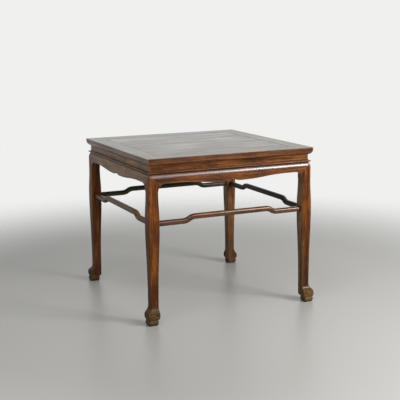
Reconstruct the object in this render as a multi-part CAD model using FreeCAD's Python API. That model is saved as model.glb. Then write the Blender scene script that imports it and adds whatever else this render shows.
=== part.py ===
import FreeCAD
import Part
import math
import os

from FreeCAD import Vector

# Whole table in millimetres: the floor is at zero height and the centre of the plan is at zero.
top_side = 950.0
table_height = 850.0

# Top frame: four mitred rails with a moulded outer edge
rail_width = 95.0
rail_thickness = 38.0
edge_ease = 2.5
band_height = 14.0
band_slope = 1.5
ovolo_depth = 20.0
rail_tenon_width = 46.0
rail_tenon_thickness = 9.0
rail_tenon_lift = 4.0
rail_tenon_setback = 14.0

# Floating panel held in a groove round the inside of the frame
board_count = 4
board_thickness = 16.0
panel_gap = 0.8
groove_drop = 7.0
groove_width = 6.0
groove_depth = 8.0
panel_tongue = 6.0
seam_tongue = 5.0
seam_tongue_thickness = 4.0
seam_tongue_lift = 7.0

# Dovetailed battens across the back of the boards
batten_count = 3
batten_spacing = 230.0
batten_width = 34.0
batten_depth = 19.0
dovetail_neck = 20.0
dovetail_head = 26.0
dovetail_depth = 5.0
batten_tenon_width = 20.0
batten_tenon_height = 11.0
batten_tenon_length = 18.0

# Recessed waist and the fillet strip under it
waist_inset = 21.0
waist_thickness = 12.0
waist_height = 32.0
waist_tongue_thickness = 6.0
waist_tongue = 4.0
waist_foot_tongue = 3.0
fillet_inset = 9.0
fillet_height = 8.0

# Aprons, mitred over the faces of the legs
apron_inset = 9.0
apron_thickness = 24.0
apron_lap = 14.0
shoulder_depth = 11.0
shoulder_height = 30.0
corner_radius = 40.0
apron_flat = 51.0
lobe_along = 42.0
lobe_depth = 66.0
notch_depth = 53.0

# Hanging dovetail that locks each apron end on its leg
key_setback = 16.0
key_neck = 8.0
key_head = 11.0
key_depth = 6.0
key_length = 21.0
key_drop = 5.0

# Legs: a straight block behind the aprons, then a shaft that swells at the stretchers
leg_top_width = 50.0
knee_width = 58.5
knee_bulge = 4.5
knee_lift = 7.0
calf_share = 0.33
ankle_height = 100.0
ankle_width = 43.0
ankle_inset = 1.0
arris_ease = 2.2
post_gap = 0.5
post_tenon_side = 16.0
post_tenon_height = 8.0

# Out-turned foot: bulges reach past the apron face, cuts set the inner side back from the ankle
foot_height = 38.0
foot_arris = 12.0
lip_bulge = 17.0
belly_share = 0.5
belly_bulge = 21.0
under_bulge = 16.5
heel_share = 0.45
under_cut = 8.0
pad_height = 28.0
pad_top_bulge = 14.0
pad_top_cut = 11.0
pad_belly_share = 0.55
pad_bulge = 19.0
pad_cut = 9.0
sole_bulge = 13.0
sole_cut = 14.0

# Hump-backed stretchers between the legs
stretcher_drop = 255.0
stretcher_rise = 19.5
stretcher_height = 28.5
stretcher_depth = 28.0
stretcher_ease = 8.0
bend_along = 238.0
bend_run = 68.0
stretcher_tenon_width = 12.0
stretcher_tenon_height = 17.0
stretcher_tenon_wall = 4.0

# Fits
clearance = 0.2
tenon_gap = 0.4
overrun = 5.0

# Places worked out from the sizes above
top_half = top_side / 2
reach = top_half + belly_bulge + overrun
rail_inner = top_half - rail_width
rail_bottom = table_height - rail_thickness
board_bottom = table_height - board_thickness
groove_bottom = table_height - groove_drop - groove_width
waist_face = top_half - waist_inset
waist_back = waist_face - waist_thickness
waist_middle = waist_face - waist_thickness / 2
waist_bottom = rail_bottom - waist_height
apron_top = waist_bottom - fillet_height
apron_face = top_half - apron_inset
apron_back = apron_face - apron_thickness
apron_seat = apron_face - apron_lap
leg_inner = apron_face - leg_top_width
post_face = min(waist_back, apron_back) - post_gap
corner_centre = leg_inner - corner_radius
corner_level = corner_centre + apron_top - apron_face
key_along = leg_inner + key_setback
key_top = apron_top - key_drop
stretcher_low = apron_top - stretcher_drop
knee_height = stretcher_low + knee_lift
knee_face = apron_face + knee_bulge
knee_inner = knee_face - knee_width
stretcher_out = knee_face - knee_width / 2
stretcher_end = stretcher_out - stretcher_tenon_width / 2 - stretcher_tenon_wall
ankle_face = apron_face - ankle_inset
ankle_inner = ankle_face - ankle_width
foot_top = pad_height + foot_height
lip_face = apron_face + lip_bulge

half_share = 0.5
quarter_turn = 90.0
eighth_turn = quarter_turn / 2
diagonal_share = math.sin(math.radians(eighth_turn))
mitre_along = corner_centre + corner_radius * diagonal_share
mitre_height = corner_level + corner_radius * diagonal_share
centre = Vector(0, 0, 0)
up = Vector(0, 0, 1)

side_names = ["front", "right", "back", "left"]
corner_names = ["front_right", "back_right", "back_left", "front_left"]


def turned(shape, quarters):
    copy = shape.copy()
    copy.rotate(centre, up, quarter_turn * quarters)
    return copy


def mirrored(shape):
    """The same shape at the left end of the front side."""
    return shape.mirror(centre, Vector(1, 0, 0))


def across_diagonal(shape):
    """The same shape on the right side of the front right corner."""
    return shape.mirror(centre, Vector(1, 1, 0))


def export(shape, name):
    shape.removeSplitter().exportStep("parts/" + name + ".step")


def front_point(along, height):
    """Point of an outline seen from the front, drawn on the middle plane of the table."""
    return Vector(along, 0, height)


def section_point(out, height):
    """Point of a cross-section of the front side, drawn past its left end."""
    return Vector(-reach, -out, height)


def path(place, points):
    spots = [place(*point) for point in points]
    return [Part.makeLine(first, second) for first, second in zip(spots, spots[1:])]


def arc_through(place, first, middle, last):
    return Part.Arc(place(*first), place(*middle), place(*last)).toShape()


def eased_arc(place, start, end, level=False):
    """Arc that leaves its start upright, or level, and runs to its end."""
    side, rise = end[0] - start[0], end[1] - start[1]
    if level:
        side, rise = rise, side
    if side == 0:
        return path(place, [start, end])[0]
    radius = (side ** 2 + rise ** 2) / (2 * side)
    turn = math.atan2(abs(rise), abs(radius) - abs(side)) / 2
    aside = radius * (1 - math.cos(turn))
    ahead = math.copysign(radius, rise) * math.sin(turn)
    step = (ahead, aside) if level else (aside, ahead)
    return arc_through(place, start, (start[0] + step[0], start[1] + step[1]), end)


def s_curve(place, start, end, share, level=False):
    """Two arcs that meet at a share of the way and leave both ends upright, or level."""
    meeting = (start[0] + share * (end[0] - start[0]), start[1] + share * (end[1] - start[1]))
    return [eased_arc(place, start, meeting, level), eased_arc(place, end, meeting, level)]


def prism(edges, direction):
    return Part.Face(Part.Wire(Part.__sortEdges__(edges))).extrude(direction)


def polygon_prism(points, direction):
    return Part.Face(Part.makePolygon(points + points[:1])).extrude(direction)


def side_box(left, right, inner, outer, bottom, top):
    """Box on the front side: left to right along it, inner to outer from the centre."""
    return Part.makeBox(right - left, outer - inner, top - bottom, Vector(left, -outer, bottom))


def mitred_bar(edges):
    """Bar of the front side with the given cross-section, mitred at both ends."""
    bar = prism(edges, Vector(2 * reach, 0, 0))
    corners = [Vector(0, 0, -overrun), Vector(-reach, -reach, -overrun), Vector(reach, -reach, -overrun)]
    return bar.common(polygon_prism(corners, up * (table_height + 2 * overrun)))


def rail_blank():
    inner_top = (rail_inner, table_height)
    ease_top = (top_half - edge_ease, table_height)
    ease_side = (top_half, table_height - edge_ease)
    band_end = (top_half - band_slope, table_height - band_height)
    ovolo_end = (top_half - ovolo_depth, rail_bottom)
    edges = path(section_point, [ovolo_end, (rail_inner, rail_bottom), inner_top, ease_top])
    edges.append(eased_arc(section_point, ease_side, ease_top))
    edges += path(section_point, [ease_side, band_end])
    edges.append(eased_arc(section_point, band_end, ovolo_end))
    panel_groove = side_box(-reach, reach, rail_inner - overrun, rail_inner + groove_depth,
                            groove_bottom, groove_bottom + groove_width)
    half_tongue = waist_tongue_thickness / 2 + clearance
    waist_groove = side_box(-reach, reach, waist_middle - half_tongue, waist_middle + half_tongue,
                            rail_bottom - overrun, rail_bottom + waist_tongue + tenon_gap)
    return mitred_bar(edges).cut([panel_groove, waist_groove])


def rail_tenon_box(gap):
    """Tenons at both ends of the front rail, or with a gap the mortises for them."""
    inner = rail_inner + rail_tenon_setback
    bottom = rail_bottom + post_tenon_height + rail_tenon_lift
    return side_box(-reach, reach, inner - gap, inner + rail_tenon_width + gap,
                    bottom - gap, bottom + rail_tenon_thickness + gap)


def post_box(inner, outer, bottom, top):
    """Upright square bar between the same two distances on both sides of the corner."""
    return side_box(inner, outer, inner, outer, bottom, top)


def post_tenon(gap, bottom):
    """Tenon on top of the leg's post, or with a gap the mortise for it."""
    middle = (leg_inner + post_face) / 2
    half = post_tenon_side / 2 + gap
    return post_box(middle - half, middle + half, bottom, rail_bottom + post_tenon_height + 2 * gap)


def batten_places():
    first = -batten_spacing * (batten_count - 1) / 2
    return [first + batten_spacing * number for number in range(batten_count)]


def batten_tenon(place, gap):
    half = batten_tenon_width / 2 + gap
    bottom = board_bottom - (batten_depth + batten_tenon_height) / 2
    return side_box(place - half, place + half, 0, rail_inner + batten_tenon_length + 2 * gap,
                    bottom - gap, bottom + batten_tenon_height + gap)


def batten_tongue(place, gap, half_length):
    neck = dovetail_neck / 2 + gap
    head = dovetail_head / 2 + gap
    top = board_bottom + dovetail_depth + gap
    corners = [Vector(place - neck, -half_length, board_bottom),
               Vector(place + neck, -half_length, board_bottom),
               Vector(place + head, -half_length, top),
               Vector(place - head, -half_length, top)]
    return polygon_prism(corners, Vector(0, 2 * half_length, 0))


def batten(place):
    half = batten_width / 2
    body = side_box(place - half, place + half, -rail_inner, rail_inner,
                    board_bottom - batten_depth, board_bottom)
    front_tenon = batten_tenon(place, 0)
    back_tenon = front_tenon.mirror(centre, Vector(0, 1, 0))
    return body.fuse([front_tenon, back_tenon, batten_tongue(place, 0, rail_inner - panel_gap)])


def panel_board(number):
    half_length = rail_inner - panel_gap
    width = 2 * half_length / board_count
    front = -half_length + width * number
    board = Part.makeBox(2 * half_length, width, board_thickness, Vector(-half_length, front, board_bottom))
    front_tongue = panel_tongue if number == 0 else 0
    back_tongue = panel_tongue if number == board_count - 1 else 0
    tongue_reach = half_length + panel_tongue
    board = board.fuse(Part.makeBox(
        2 * tongue_reach, width + front_tongue + back_tongue, groove_width - 2 * clearance,
        Vector(-tongue_reach, front - front_tongue, groove_bottom + clearance)))
    seam_bottom = board_bottom + seam_tongue_lift
    if number > 0:
        board = board.cut(Part.makeBox(
            2 * reach, seam_tongue + tenon_gap, seam_tongue_thickness + 2 * clearance,
            Vector(-reach, front, seam_bottom - clearance)))
    if number < board_count - 1:
        board = board.fuse(Part.makeBox(2 * half_length, seam_tongue, seam_tongue_thickness,
                                        Vector(-half_length, front + width, seam_bottom)))
    return board.cut([batten_tongue(place, clearance, reach) for place in batten_places()])


def waist():
    inner = waist_middle - waist_tongue_thickness / 2
    outer = waist_middle + waist_tongue_thickness / 2
    foot = waist_bottom - waist_foot_tongue
    head = rail_bottom + waist_tongue
    return mitred_bar(path(section_point, [
        (waist_back, waist_bottom), (inner, waist_bottom), (inner, foot), (outer, foot),
        (outer, waist_bottom), (waist_face, waist_bottom), (waist_face, rail_bottom),
        (outer, rail_bottom), (outer, head), (inner, head), (inner, rail_bottom),
        (waist_back, rail_bottom), (waist_back, waist_bottom)]))


def fillet():
    face = top_half - fillet_inset
    nose = fillet_height / 2
    edges = path(section_point, [(face - nose, apron_top), (waist_back, apron_top),
                                 (waist_back, waist_bottom), (face - nose, waist_bottom)])
    edges.append(arc_through(section_point, (face - nose, waist_bottom), (face, apron_top + nose),
                             (face - nose, apron_top)))
    half_tongue = waist_tongue_thickness / 2 + clearance
    groove = side_box(-reach, reach, waist_middle - half_tongue, waist_middle + half_tongue,
                      waist_bottom - waist_foot_tongue - tenon_gap, waist_bottom + overrun)
    return mitred_bar(edges).cut(groove)


def shouldered_section(inner):
    """Cross-section of the apron, a rounded upper shoulder over a flat face, back to an inner plane."""
    bottom = corner_level
    shoulder_end = (apron_face, apron_top - shoulder_height)
    top_edge = (apron_face - shoulder_depth, apron_top)
    edges = path(section_point, [top_edge, (inner, apron_top), (inner, bottom),
                                 (apron_face, bottom), shoulder_end])
    edges.append(eased_arc(section_point, shoulder_end, top_edge))
    return edges


def corner_arc(first, last):
    """Part of the curve from the leg into the apron's lower edge, in degrees up from the leg."""
    points = []
    for degrees in (first, (first + last) / 2, last):
        turn = math.radians(degrees)
        points.append((corner_centre + corner_radius * math.cos(turn),
                       corner_level + corner_radius * math.sin(turn)))
    return arc_through(front_point, *points)


def apron_outline():
    flat = corner_level + corner_radius
    flat_end = (corner_centre - apron_flat, flat)
    lobe = (lobe_along, apron_top - lobe_depth)
    half = path(front_point, [(apron_face, apron_top), (mitre_along, mitre_height)])
    half.append(corner_arc(eighth_turn, quarter_turn))
    half += path(front_point, [(corner_centre, flat), flat_end])
    half += s_curve(front_point, flat_end, lobe, half_share, level=True)
    half.append(eased_arc(front_point, lobe, (0, apron_top - notch_depth), level=True))
    top = path(front_point, [(-apron_face, apron_top), (apron_face, apron_top)])
    return half + [mirrored(edge) for edge in half] + top


def hanging_key(gap, bottom):
    """Upright dovetail on the leg behind the right end of the front apron, or with a gap its slot."""
    neck = key_neck / 2 + gap
    head = key_head / 2 + gap
    face = -apron_seat - key_depth - gap
    corners = [Vector(key_along - neck, -apron_seat, bottom), Vector(key_along + neck, -apron_seat, bottom),
               Vector(key_along + head, face, bottom), Vector(key_along - head, face, bottom)]
    return polygon_prism(corners, up * (key_top + gap - bottom))


def apron():
    outline = prism(apron_outline(), Vector(0, -reach, 0))
    board = mitred_bar(shouldered_section(apron_back)).common(outline)
    leg_room = side_box(leg_inner, reach, 0, apron_seat, 0, table_height)
    slot = hanging_key(clearance, corner_level)
    return board.cut([leg_room, mirrored(leg_room), slot, mirrored(slot)])


def shaft_edge(block, knee, ankle, lip):
    """Edge of the leg from the aprons down to the lip of the foot, at four distances."""
    edges = path(front_point, [(block, apron_top), (block, corner_level)])
    edges += s_curve(front_point, (block, corner_level), (knee, knee_height), half_share)
    edges += s_curve(front_point, (knee, knee_height), (ankle, ankle_height), calf_share)
    edges.append(eased_arc(front_point, (ankle, ankle_height), (lip, foot_top)))
    return edges


def leg_outline():
    belly = (apron_face + belly_bulge, pad_height + belly_share * foot_height)
    under = (apron_face + under_bulge, pad_height)
    pad_top = (apron_face + pad_top_bulge, pad_height)
    pad_belly = (apron_face + pad_bulge, pad_belly_share * pad_height)
    sole = (apron_face + sole_bulge, 0)
    heel = (ankle_inner, pad_height + heel_share * foot_height)
    inner_under = (ankle_inner + under_cut, pad_height)
    inner_pad_top = (ankle_inner + pad_top_cut, pad_height)
    inner_belly = (ankle_inner + pad_cut, pad_belly_share * pad_height)
    inner_sole = (ankle_inner + sole_cut, 0)
    edges = shaft_edge(apron_face, knee_face, ankle_face, lip_face)
    edges.append(arc_through(front_point, (lip_face, foot_top), belly, under))
    edges += path(front_point, [under, pad_top])
    edges.append(arc_through(front_point, pad_top, pad_belly, sole))
    edges += path(front_point, [sole, inner_sole])
    edges.append(arc_through(front_point, inner_sole, inner_belly, inner_pad_top))
    edges += path(front_point, [inner_pad_top, inner_under])
    edges.append(eased_arc(front_point, heel, inner_under))
    edges += path(front_point, [heel, (ankle_inner, foot_top)])
    edges += shaft_edge(leg_inner, knee_inner, ankle_inner, ankle_inner)
    return edges + path(front_point, [(leg_inner, apron_top), (apron_face, apron_top)])


def eased_arrises():
    """Two upright prisms that take the sharp corners off the shaft, one across each diagonal."""
    def across(width):
        return width * diagonal_share - arris_ease

    def along(face):
        return face / diagonal_share - arris_ease

    through = Vector(0, 2 * top_side, 0)
    lip_width = lip_face - ankle_inner
    outer = shaft_edge(along(apron_face), along(knee_face), along(ankle_face), along(lip_face))
    outer += path(front_point, [(along(lip_face), foot_top), (0, foot_top), (0, apron_top),
                                (along(apron_face), apron_top)])
    right = shaft_edge(across(leg_top_width), across(knee_width), across(ankle_width), across(lip_width))
    lip, block = across(lip_width), across(leg_top_width)
    sides = right + [mirrored(edge) for edge in right]
    sides += path(front_point, [(-lip, foot_top), (lip, foot_top)])
    sides += path(front_point, [(-block, apron_top), (block, apron_top)])
    prisms = []
    for edges, angle in ((outer, -eighth_turn), (sides, eighth_turn)):
        trim = prism(edges, through)
        trim.translate(-through / 2)
        trim.rotate(centre, up, angle)
        prisms.append(trim)
    return prisms


def foot_column():
    """Upright bar with rounded corners that the foot and its pad stay inside."""
    outer = apron_face + belly_bulge
    column = post_box(ankle_inner, outer, 0, foot_top)
    uprights = [edge for edge in column.Edges if edge.BoundBox.ZLength > foot_height]
    return column.makeFillet(foot_arris, uprights)


def ear():
    """Spur of the leg that carries the corner curve up to the mitre of the front apron."""
    inset = leg_inner + overrun
    mitre_inset = inset + apron_top - apron_face
    edges = path(front_point, [(leg_inner, corner_level), (inset, corner_level), (inset, mitre_inset),
                               (mitre_along, mitre_height)])
    edges.append(corner_arc(0, eighth_turn))
    room = side_box(0, top_half, apron_back, apron_face, 0, table_height)
    return prism(edges, Vector(0, -reach, 0)).common(room)


def apron_recess():
    """Room on the front face of the leg for the mitred end of the apron."""
    low = mitre_along - overrun
    high = apron_face + overrun
    shift = apron_top - apron_face
    corners = [Vector(low, -reach, low + shift), Vector(high, -reach, high + shift),
               Vector(low, -reach, high + shift)]
    return polygon_prism(corners, Vector(0, reach - apron_seat, 0))


def stretcher_tenon(start, gap):
    """Tenon at the right end of the front stretcher, or with a gap the mortise for it."""
    half_width = stretcher_tenon_width / 2 + gap
    half_height = stretcher_tenon_height / 2 + gap
    return side_box(start, stretcher_end + gap, stretcher_out - half_width, stretcher_out + half_width,
                    stretcher_low - half_height, stretcher_low + half_height)


def leg():
    sawn = prism(leg_outline(), Vector(0, -reach, 0))
    squared = sawn.common(across_diagonal(sawn))
    shaft = squared
    for trim in eased_arrises():
        shaft = shaft.common(trim)
    spur = ear()
    shaft = shaft.fuse([spur, across_diagonal(spur)])
    recess = apron_recess()
    shaft = shaft.cut([recess, across_diagonal(recess)])
    shoulder = prism(shouldered_section(0), Vector(2 * reach, 0, 0))
    lower = side_box(0, reach, 0, reach, 0, corner_level)
    upper = shaft.cut(lower).common(shoulder).common(across_diagonal(shoulder))
    foot = squared.common(foot_column())
    key = hanging_key(0, key_top - key_length)
    post = post_box(leg_inner, post_face, corner_level, rail_bottom)
    tenon = post_tenon(0, rail_bottom)
    mortise = stretcher_tenon(knee_inner - overrun, clearance)
    whole = shaft.common(lower).fuse([upper, foot, key, across_diagonal(key), post, tenon])
    return whole.cut([mortise, across_diagonal(mortise)])


def stretcher():
    shoulder = knee_inner - tenon_gap
    hump = stretcher_low + stretcher_rise
    low_end = bend_along + bend_run / 2
    high_end = bend_along - bend_run / 2
    right = s_curve(front_point, (high_end, hump), (low_end, stretcher_low), half_share, level=True)
    right += path(front_point, [(low_end, stretcher_low), (shoulder, stretcher_low)])
    spine = right + [mirrored(edge) for edge in right]
    spine += path(front_point, [(-high_end, hump), (high_end, hump)])
    half_height = stretcher_height / 2
    half_depth = stretcher_depth / 2
    flat_height = half_height - stretcher_ease
    flat_depth = half_depth - stretcher_ease
    corners = [(flat_depth, -half_height), (half_depth, -flat_height), (half_depth, flat_height),
               (flat_depth, half_height)]
    corners += [(-out, -high) for out, high in corners]
    spots = [Vector(-shoulder, out, stretcher_low + high) for out, high in corners]
    section = Part.makePolygon(spots + spots[:1])
    bar = Part.Wire(Part.__sortEdges__(spine)).makePipeShell([section], True, False)
    bar.translate(Vector(0, -stretcher_out, 0))
    tenon = stretcher_tenon(shoulder, 0)
    return bar.fuse([tenon, mirrored(tenon)])


os.makedirs("parts", exist_ok=True)

blank = rail_blank()
mortise = post_tenon(clearance, rail_bottom - overrun)
post_mortises = [turned(mortise, quarters) for quarters in range(len(corner_names))]
for quarters, name in enumerate(side_names):
    rail = turned(blank, quarters).cut(post_mortises)
    if quarters % 2 == 0:
        tenons = turned(rail_tenon_box(0), quarters)
        neighbours = [turned(blank, quarters + 1), turned(blank, quarters - 1)]
        rail = rail.fuse([neighbour.common(tenons) for neighbour in neighbours])
        rail = rail.cut([turned(batten_tenon(place, clearance), quarters) for place in batten_places()])
    else:
        tenon_mortises = [turned(rail_tenon_box(clearance), opposite) for opposite in (0, 2)]
        rail = rail.cut(tenon_mortises)
    export(rail, "frame_rail_" + name)

for number in range(board_count):
    export(panel_board(number), "panel_board_" + str(number + 1))

for number, place in enumerate(batten_places()):
    export(batten(place), "panel_batten_" + str(number + 1))

for maker in (waist, fillet, apron, stretcher):
    shape = maker()
    for quarters, name in enumerate(side_names):
        export(turned(shape, quarters), maker.__name__ + "_" + name)

shape = leg()
for quarters, name in enumerate(corner_names):
    export(turned(shape, quarters), "leg_" + name)
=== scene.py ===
import math

import bmesh
import bpy
from mathutils import Matrix, Vector, kdtree


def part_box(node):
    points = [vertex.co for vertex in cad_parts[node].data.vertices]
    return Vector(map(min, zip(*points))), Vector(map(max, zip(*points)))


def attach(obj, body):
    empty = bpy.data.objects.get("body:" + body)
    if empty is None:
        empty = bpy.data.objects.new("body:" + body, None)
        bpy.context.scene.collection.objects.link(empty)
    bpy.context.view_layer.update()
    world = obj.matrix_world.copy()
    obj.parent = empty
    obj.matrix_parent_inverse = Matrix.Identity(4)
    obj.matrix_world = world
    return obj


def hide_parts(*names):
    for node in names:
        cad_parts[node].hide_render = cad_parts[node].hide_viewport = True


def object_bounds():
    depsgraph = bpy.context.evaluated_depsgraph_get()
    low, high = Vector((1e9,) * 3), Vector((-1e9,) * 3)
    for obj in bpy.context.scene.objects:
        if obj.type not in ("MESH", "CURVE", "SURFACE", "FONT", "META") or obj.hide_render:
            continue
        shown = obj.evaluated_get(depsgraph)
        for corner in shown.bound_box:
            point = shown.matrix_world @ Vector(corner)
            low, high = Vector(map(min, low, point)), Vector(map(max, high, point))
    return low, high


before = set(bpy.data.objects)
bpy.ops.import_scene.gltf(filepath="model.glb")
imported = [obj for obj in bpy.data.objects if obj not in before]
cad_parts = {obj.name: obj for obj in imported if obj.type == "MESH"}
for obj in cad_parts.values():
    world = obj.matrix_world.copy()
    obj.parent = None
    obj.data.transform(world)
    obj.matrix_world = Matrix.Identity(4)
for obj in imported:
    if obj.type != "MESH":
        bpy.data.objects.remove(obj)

bl_info = {
    "name": "Eight Immortals Table",
    "version": (1, 0, 0),
    "blender": (4, 5, 0),
    "location": "View3D > Sidebar > Table",
    "description": "Dresses a waisted square hardwood table piece by piece and sets it on a studio floor",
    "category": "Object",
}

CAD_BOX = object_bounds()
RAIL_LOW, RAIL_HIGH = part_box("frame_rail_front")
FILLET_LOW, FILLET_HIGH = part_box("fillet_front")
WAIST_LOW, WAIST_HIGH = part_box("waist_front")
APRON_LOW, APRON_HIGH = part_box("apron_front")
BOARD_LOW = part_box("panel_board_1")[0]
STRETCHER_LOW, STRETCHER_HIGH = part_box("stretcher_front")

SIDES = ("front", "right", "back", "left")
CORNERS = ("front_right", "back_right", "back_left", "front_left")
UP = (0, 0, 1)
TINY = 1e-6
QUARTER_TURN = math.pi / 2
CUBE, PLANE = bpy.ops.mesh.primitive_cube_add, bpy.ops.mesh.primitive_plane_add
# Smallest angle of an edge that is rounded off, and that is shaded sharp on straight and on curved pieces
ROUNDED_ANGLE = math.radians(30)
SHARP_ANGLE = math.radians(32)
CURVED_SHARP_ANGLE = math.radians(34)


def linear(hex_colour):
    """Linear colour of an sRGB hex value."""
    channels = [int(hex_colour[start:start + 2], 16) / 255 for start in (1, 3, 5)]
    bent = [c / 12.92 if c <= 0.04045 else ((c + 0.055) / 1.055) ** 2.4 for c in channels]
    return tuple(bent) + (1.0,)


def length(name, description, default):
    return bpy.props.FloatProperty(
        name=name, description=description, default=default, min=0.0, precision=4, unit="LENGTH")


def colour(name, description, hex_colour):
    return bpy.props.FloatVectorProperty(
        name=name, description=description, default=linear(hex_colour), size=4, min=0.0, max=1.0,
        subtype="COLOR")


class TableSizes(bpy.types.PropertyGroup):
    """Sizes of the pieces, in metres."""
    edge_softness: length("Edge softness", "Rounding that use has worn onto the arrises", 0.0010)
    rail_width: length("Rail width", "Width of the top frame's rails", RAIL_HIGH.y - RAIL_LOW.y)
    ovolo_depth: length("Ovolo depth", "How far the rail's moulded edge falls back", 0.020)
    band_height: length("Band height", "Upright band above the ovolo", 0.014)
    edge_ease: length("Edge ease", "Rounding of the top's outer edge", 0.0025)
    tenon_out: length("Tenon place", "Distance of the through-tenons from the middle", 0.417)
    tenon_drop: length("Tenon depth", "Middle of the through-tenons below the top", 0.0215)
    tenon_width: length("Tenon width", "Width of the through-tenons", 0.046)
    tenon_thickness: length("Tenon thickness", "Thickness of the through-tenons", 0.009)
    tenon_gap: length("Tenon gap", "Dark line round each tenon end", 0.0004)
    board_gap: length("Board gap", "Open line round the panel", 0.0020)
    board_drop: length("Board drop", "How far the boards have sunk below the frame", 0.0003)
    board_cup: length("Board cup", "Hollow that each board has dried to", 0.0004)
    fascia_height: length("Fascia height", "Raised band along the foot of the waist", 0.008)
    fascia_depth: length("Fascia depth", "How far that band stands out", 0.0012)
    shoulder_depth: length("Shoulder depth", "How far the apron's shoulder rounds back", 0.011)
    shoulder_height: length("Shoulder height", "Height of the apron's rounded shoulder", 0.030)
    corner_radius: length("Corner radius", "Curve from the leg into the apron", 0.040)
    apron_flat: length("Apron flat", "Level run beside the corner curve", 0.051)
    lobe_along: length("Lobe place", "Distance of the apron's lobes from its middle", 0.042)
    notch_rise: length("Notch rise", "Height of the cusp above the lobes", 0.013)
    leg_width: length("Leg width", "Leg behind the aprons", 0.050)
    knee_width: length("Knee width", "Leg where the stretchers meet it", 0.0585)
    knee_bulge: length("Knee bulge", "Swelling of the outer faces at the stretchers", 0.0045)
    knee_lift: length("Knee lift", "Widest point above the stretcher's middle", 0.0070)
    ankle_width: length("Ankle width", "Narrowest part of the leg", 0.043)
    ankle_height: length("Ankle height", "Height where the leg starts to flare", 0.100)
    foot_height: length("Foot height", "Height of the scrolled block", 0.038)
    pad_height: length("Pad height", "Height of the pad under the block", 0.028)
    carving_depth: length("Carving depth", "Depth of the scrolls cut into the feet", 0.0036)
    stretcher_rise: length("Stretcher rise", "Height of the hump", 0.0195)
    bend_along: length("Bend place", "Distance of the hump's bends from the middle", 0.238)
    bend_run: length("Bend run", "Length of each bend", 0.068)


class TableColours(bpy.types.PropertyGroup):
    """Colours of the old wood and of the stage."""
    dark_vein: colour("Dark vein", "Late wood and deep pores", "#231006")
    heartwood: colour("Heartwood", "Body colour of the polished wood", "#6b3812")
    light_vein: colour("Light vein", "Pale streaks in the figure", "#a06425")
    # Painted shade: dark wood on the inner faces of the right and back stretchers
    painted_shade_vein: colour("Soot vein", "Dark lines on the pieces that nobody rubs", "#1d1b15")
    soot_wood: colour("Soot wood", "Body colour of the pieces that nobody rubs", "#3b382e")
    painted_shade_pale: colour("Soot light", "Pale lines on the pieces that nobody rubs", "#5a5544")
    # Dust and painted grey sheen: paler, greyer wood on the left side and on an inner face of two legs
    dust_and_sheen_vein: colour("Dusty vein", "Dark lines under dust", "#352212")
    dusty_wood: colour("Dusty wood", "Body colour under dust", "#7d5834")
    dust_and_sheen_light: colour("Dusty light", "Pale lines under dust", "#a87f50")
    top_vein: colour("Top vein", "Dark lines of the bleached top", "#20150b")
    top_wood: colour("Top wood", "Body colour of the bleached top", "#493c28")
    top_light: colour("Top light", "Pale lines of the bleached top", "#736548")
    # Darkens corners, recesses and carved grooves: partly old wax, partly painted shade
    grime_and_shade: colour("Grime", "Dirt and old wax in the corners", "#150d07")
    worn_edge: colour("Worn edge", "Wood rubbed bright along the arrises", "#a8713a")
    foot_dark: colour("Foot patina", "Olive patina on the carved feet", "#352718")
    foot_gilt: colour("Foot wear", "Ochre rub on the carved feet", "#755832")
    floor_colour: colour("Floor", "Plain pale floor", "#9e9d99")
    air_colour: colour("Air", "Pale light of the room", "#f0f0ef")


def sizes():
    return bpy.context.scene.table_sizes


def colours():
    return bpy.context.scene.table_colours


def deselect():
    if bpy.context.mode != "OBJECT":
        bpy.ops.object.mode_set(mode="OBJECT")
    bpy.ops.object.select_all(action="DESELECT")


def activate(piece):
    deselect()
    piece.select_set(True)
    bpy.context.view_layer.objects.active = piece


def edit(piece):
    activate(piece)
    bpy.ops.object.mode_set(mode="EDIT")


def choose(piece, kind, test):
    """Selects the edges or faces of a piece in edit mode that pass a test."""
    bpy.ops.mesh.select_all(action="DESELECT")
    bpy.ops.mesh.select_mode(type={"edges": "EDGE", "faces": "FACE"}[kind])
    mesh = bmesh.from_edit_mesh(piece.data)
    for element in getattr(mesh, kind):
        if test(element):
            element.select_set(True)
    mesh.select_flush_mode()
    bmesh.update_edit_mesh(piece.data)


def finish_modifier(piece, kind, **settings):
    modifier = piece.modifiers.new(kind.title(), kind)
    for name, value in settings.items():
        setattr(modifier, name, value)
    activate(piece)
    bpy.ops.object.modifier_apply(modifier=modifier.name)


def combine(piece, other, operation):
    finish_modifier(piece, "BOOLEAN", object=other, operation=operation, solver="EXACT")
    bpy.data.objects.remove(other)


def soften(piece, width, segments=2):
    finish_modifier(piece, "BEVEL", width=width, segments=segments, limit_method="ANGLE",
                    angle_limit=ROUNDED_ANGLE, use_clamp_overlap=True)
    smooth(piece)


def smooth(piece):
    """Smooth shading that leaves the broad faces flat."""
    activate(piece)
    bpy.ops.object.shade_smooth_by_angle(angle=SHARP_ANGLE)
    finish_modifier(piece, "WEIGHTED_NORMAL", keep_sharp=True)


def trim(piece, point, normal):
    """Saws a piece off at a plane, on the side that the normal points to."""
    edit(piece)
    bpy.ops.mesh.select_all(action="SELECT")
    bpy.ops.mesh.bisect(plane_co=point, plane_no=normal, use_fill=True, clear_outer=True)
    deselect()


def blank(primitive, name, place, scale, turn=(0, 0, 0)):
    """Starts a piece from a cube or plane, sized and turned at its place."""
    deselect()
    primitive(size=1, location=place, rotation=turn)
    piece = bpy.context.object
    piece.name = name
    piece.data.name = name
    piece.scale = scale
    bpy.ops.object.transform_apply(location=True, rotation=True, scale=True)
    return piece


def face_outwards():
    """Turns all faces of the piece in edit mode outwards."""
    bpy.ops.mesh.select_all(action="SELECT")
    bpy.ops.mesh.normals_make_consistent(inside=False)
    deselect()


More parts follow.
